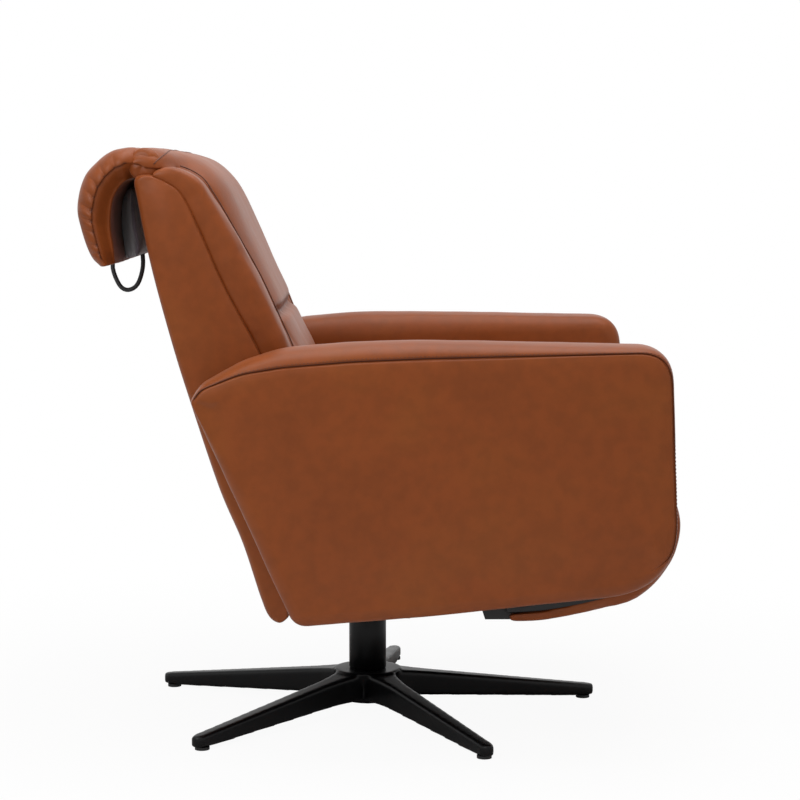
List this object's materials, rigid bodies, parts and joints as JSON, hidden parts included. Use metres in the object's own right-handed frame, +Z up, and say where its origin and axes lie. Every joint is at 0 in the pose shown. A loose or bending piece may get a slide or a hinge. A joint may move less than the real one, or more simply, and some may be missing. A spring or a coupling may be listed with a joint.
{
  "type": "power swivel recliner",
  "caption": "Leather power recliner on a low star base: swivelling seat, reclining back, headrest that folds over the back and footrest that swings out from under the seat.",
  "frame": {"origin": "on the floor, under the middle of the chair's box with the back upright, the headrest folded back and the footrest closed", "axes": "+X to the chair's front, +Y to the sitter's left, +Z up along the swivel axis"},
  "size_m": [0.8373, 0.76, 0.8459],
  "materials": {
    "leather": "tan full-grain leather with a soft gloss and dark seams",
    "lining_cloth": "dark grey matt lining cloth",
    "black_coated_metal": "satin black powder coat",
    "steel": "bright turned steel",
    "black_plastic": "fine textured black plastic",
    "nylon": "natural nylon",
    "black_rubber": "smooth black rubber",
    "plywood": "raw birch plywood"
  },
  "bodies": {
    "base": {"base_star": "black_coated_metal", "glide_1": "black_plastic", "glide_2": "black_plastic", "glide_3": "black_plastic", "glide_4": "black_plastic", "glide_5": "black_plastic", "column_tube": "black_coated_metal", "lower_bush": "nylon", "upper_bush": "nylon"},
    "seat": {"swivel_spindle": "steel", "spindle_screw": "steel", "swivel_plate": "black_coated_metal", "cross_member_front": "black_coated_metal", "cross_member_rear": "black_coated_metal", "side_plate_left": "black_coated_metal", "side_plate_right": "black_coated_metal", "seat_board": "plywood", "front_rail": "leather", "seat_cushion": "leather", "arm_left": "leather", "arm_right": "leather", "arm_bolt_left_front": "steel", "arm_bolt_left_rear": "steel", "arm_bolt_right_front": "steel", "arm_bolt_right_rear": "steel", "control_panel": "black_plastic", "control_box": "black_plastic", "power_inlet": "black_plastic", "actuator_body": "black_plastic", "actuator_motor": "black_plastic", "footrest_motor": "steel", "footrest_pivot_pin": "steel"},
    "backrest": {"back_board": "plywood", "back_shell": "leather", "bolster_left": "leather", "bolster_right": "leather", "back_cushion": "leather", "lumbar_cushion": "leather", "back_shaft": "steel", "back_bracket_left": "black_coated_metal", "back_bracket_right": "black_coated_metal", "back_lever": "black_coated_metal", "headrest_hinge_left": "steel", "headrest_hinge_right": "steel"},
    "actuator_rod": {"actuator_rod": "steel"},
    "headrest": {"headrest_pad": "leather", "headrest_lining": "lining_cloth", "headrest_shaft": "steel", "pull_loop": "black_rubber"},
    "footrest": {"footrest_pad": "leather", "footrest_board": "plywood", "footrest_tube": "black_coated_metal", "footrest_arm_left": "black_coated_metal", "footrest_arm_right": "black_coated_metal", "footrest_bracket_left": "black_plastic", "footrest_bracket_right": "black_plastic"},
    "button_1": {"button_1": "steel"},
    "button_2": {"button_2": "steel"},
    "button_3": {"button_3": "steel"},
    "button_4": {"button_4": "steel"}
  },
  "joints": [
    {"name": "swivel", "type": "hinge", "parent": "base", "child": "seat", "pos_m": [-0.0187, 0, 0], "axis": [0, 0, 1], "continuous": true},
    {"name": "recline", "type": "hinge", "parent": "seat", "child": "backrest", "pos_m": [-0.0937, 0, 0.245], "axis": [0, -1, 0], "range_deg": [0, 30]},
    {"name": "actuator_travel", "type": "slide", "parent": "seat", "child": "actuator_rod", "axis": [-1, 0, 0], "range_m": [0, 0.047]},
    {"name": "headrest_fold", "type": "hinge", "parent": "backrest", "child": "headrest", "pos_m": [-0.3237, 0, 0.822], "axis": [0, 1, 0], "range_deg": [0, 135]},
    {"name": "footrest_swing", "type": "hinge", "parent": "seat", "child": "footrest", "pos_m": [0.3663, 0, 0.315], "axis": [0, -1, 0], "range_deg": [0, 140]},
    {"name": "button_1_press", "type": "slide", "parent": "seat", "child": "button_1", "axis": [0, -1, 0], "range_m": [0, 0.0015], "stiffness_N_per_m": 600},
    {"name": "button_2_press", "type": "slide", "parent": "seat", "child": "button_2", "axis": [0, -1, 0], "range_m": [0, 0.0015], "stiffness_N_per_m": 600},
    {"name": "button_3_press", "type": "slide", "parent": "seat", "child": "button_3", "axis": [0, -1, 0], "range_m": [0, 0.0015], "stiffness_N_per_m": 600},
    {"name": "button_4_press", "type": "slide", "parent": "seat", "child": "button_4", "axis": [0, -1, 0], "range_m": [0, 0.0015], "stiffness_N_per_m": 600}
  ],
  "couplings": [
    {"joint": "actuator_travel", "follows": "recline", "m_per_rad": 0.088975}
  ]
}
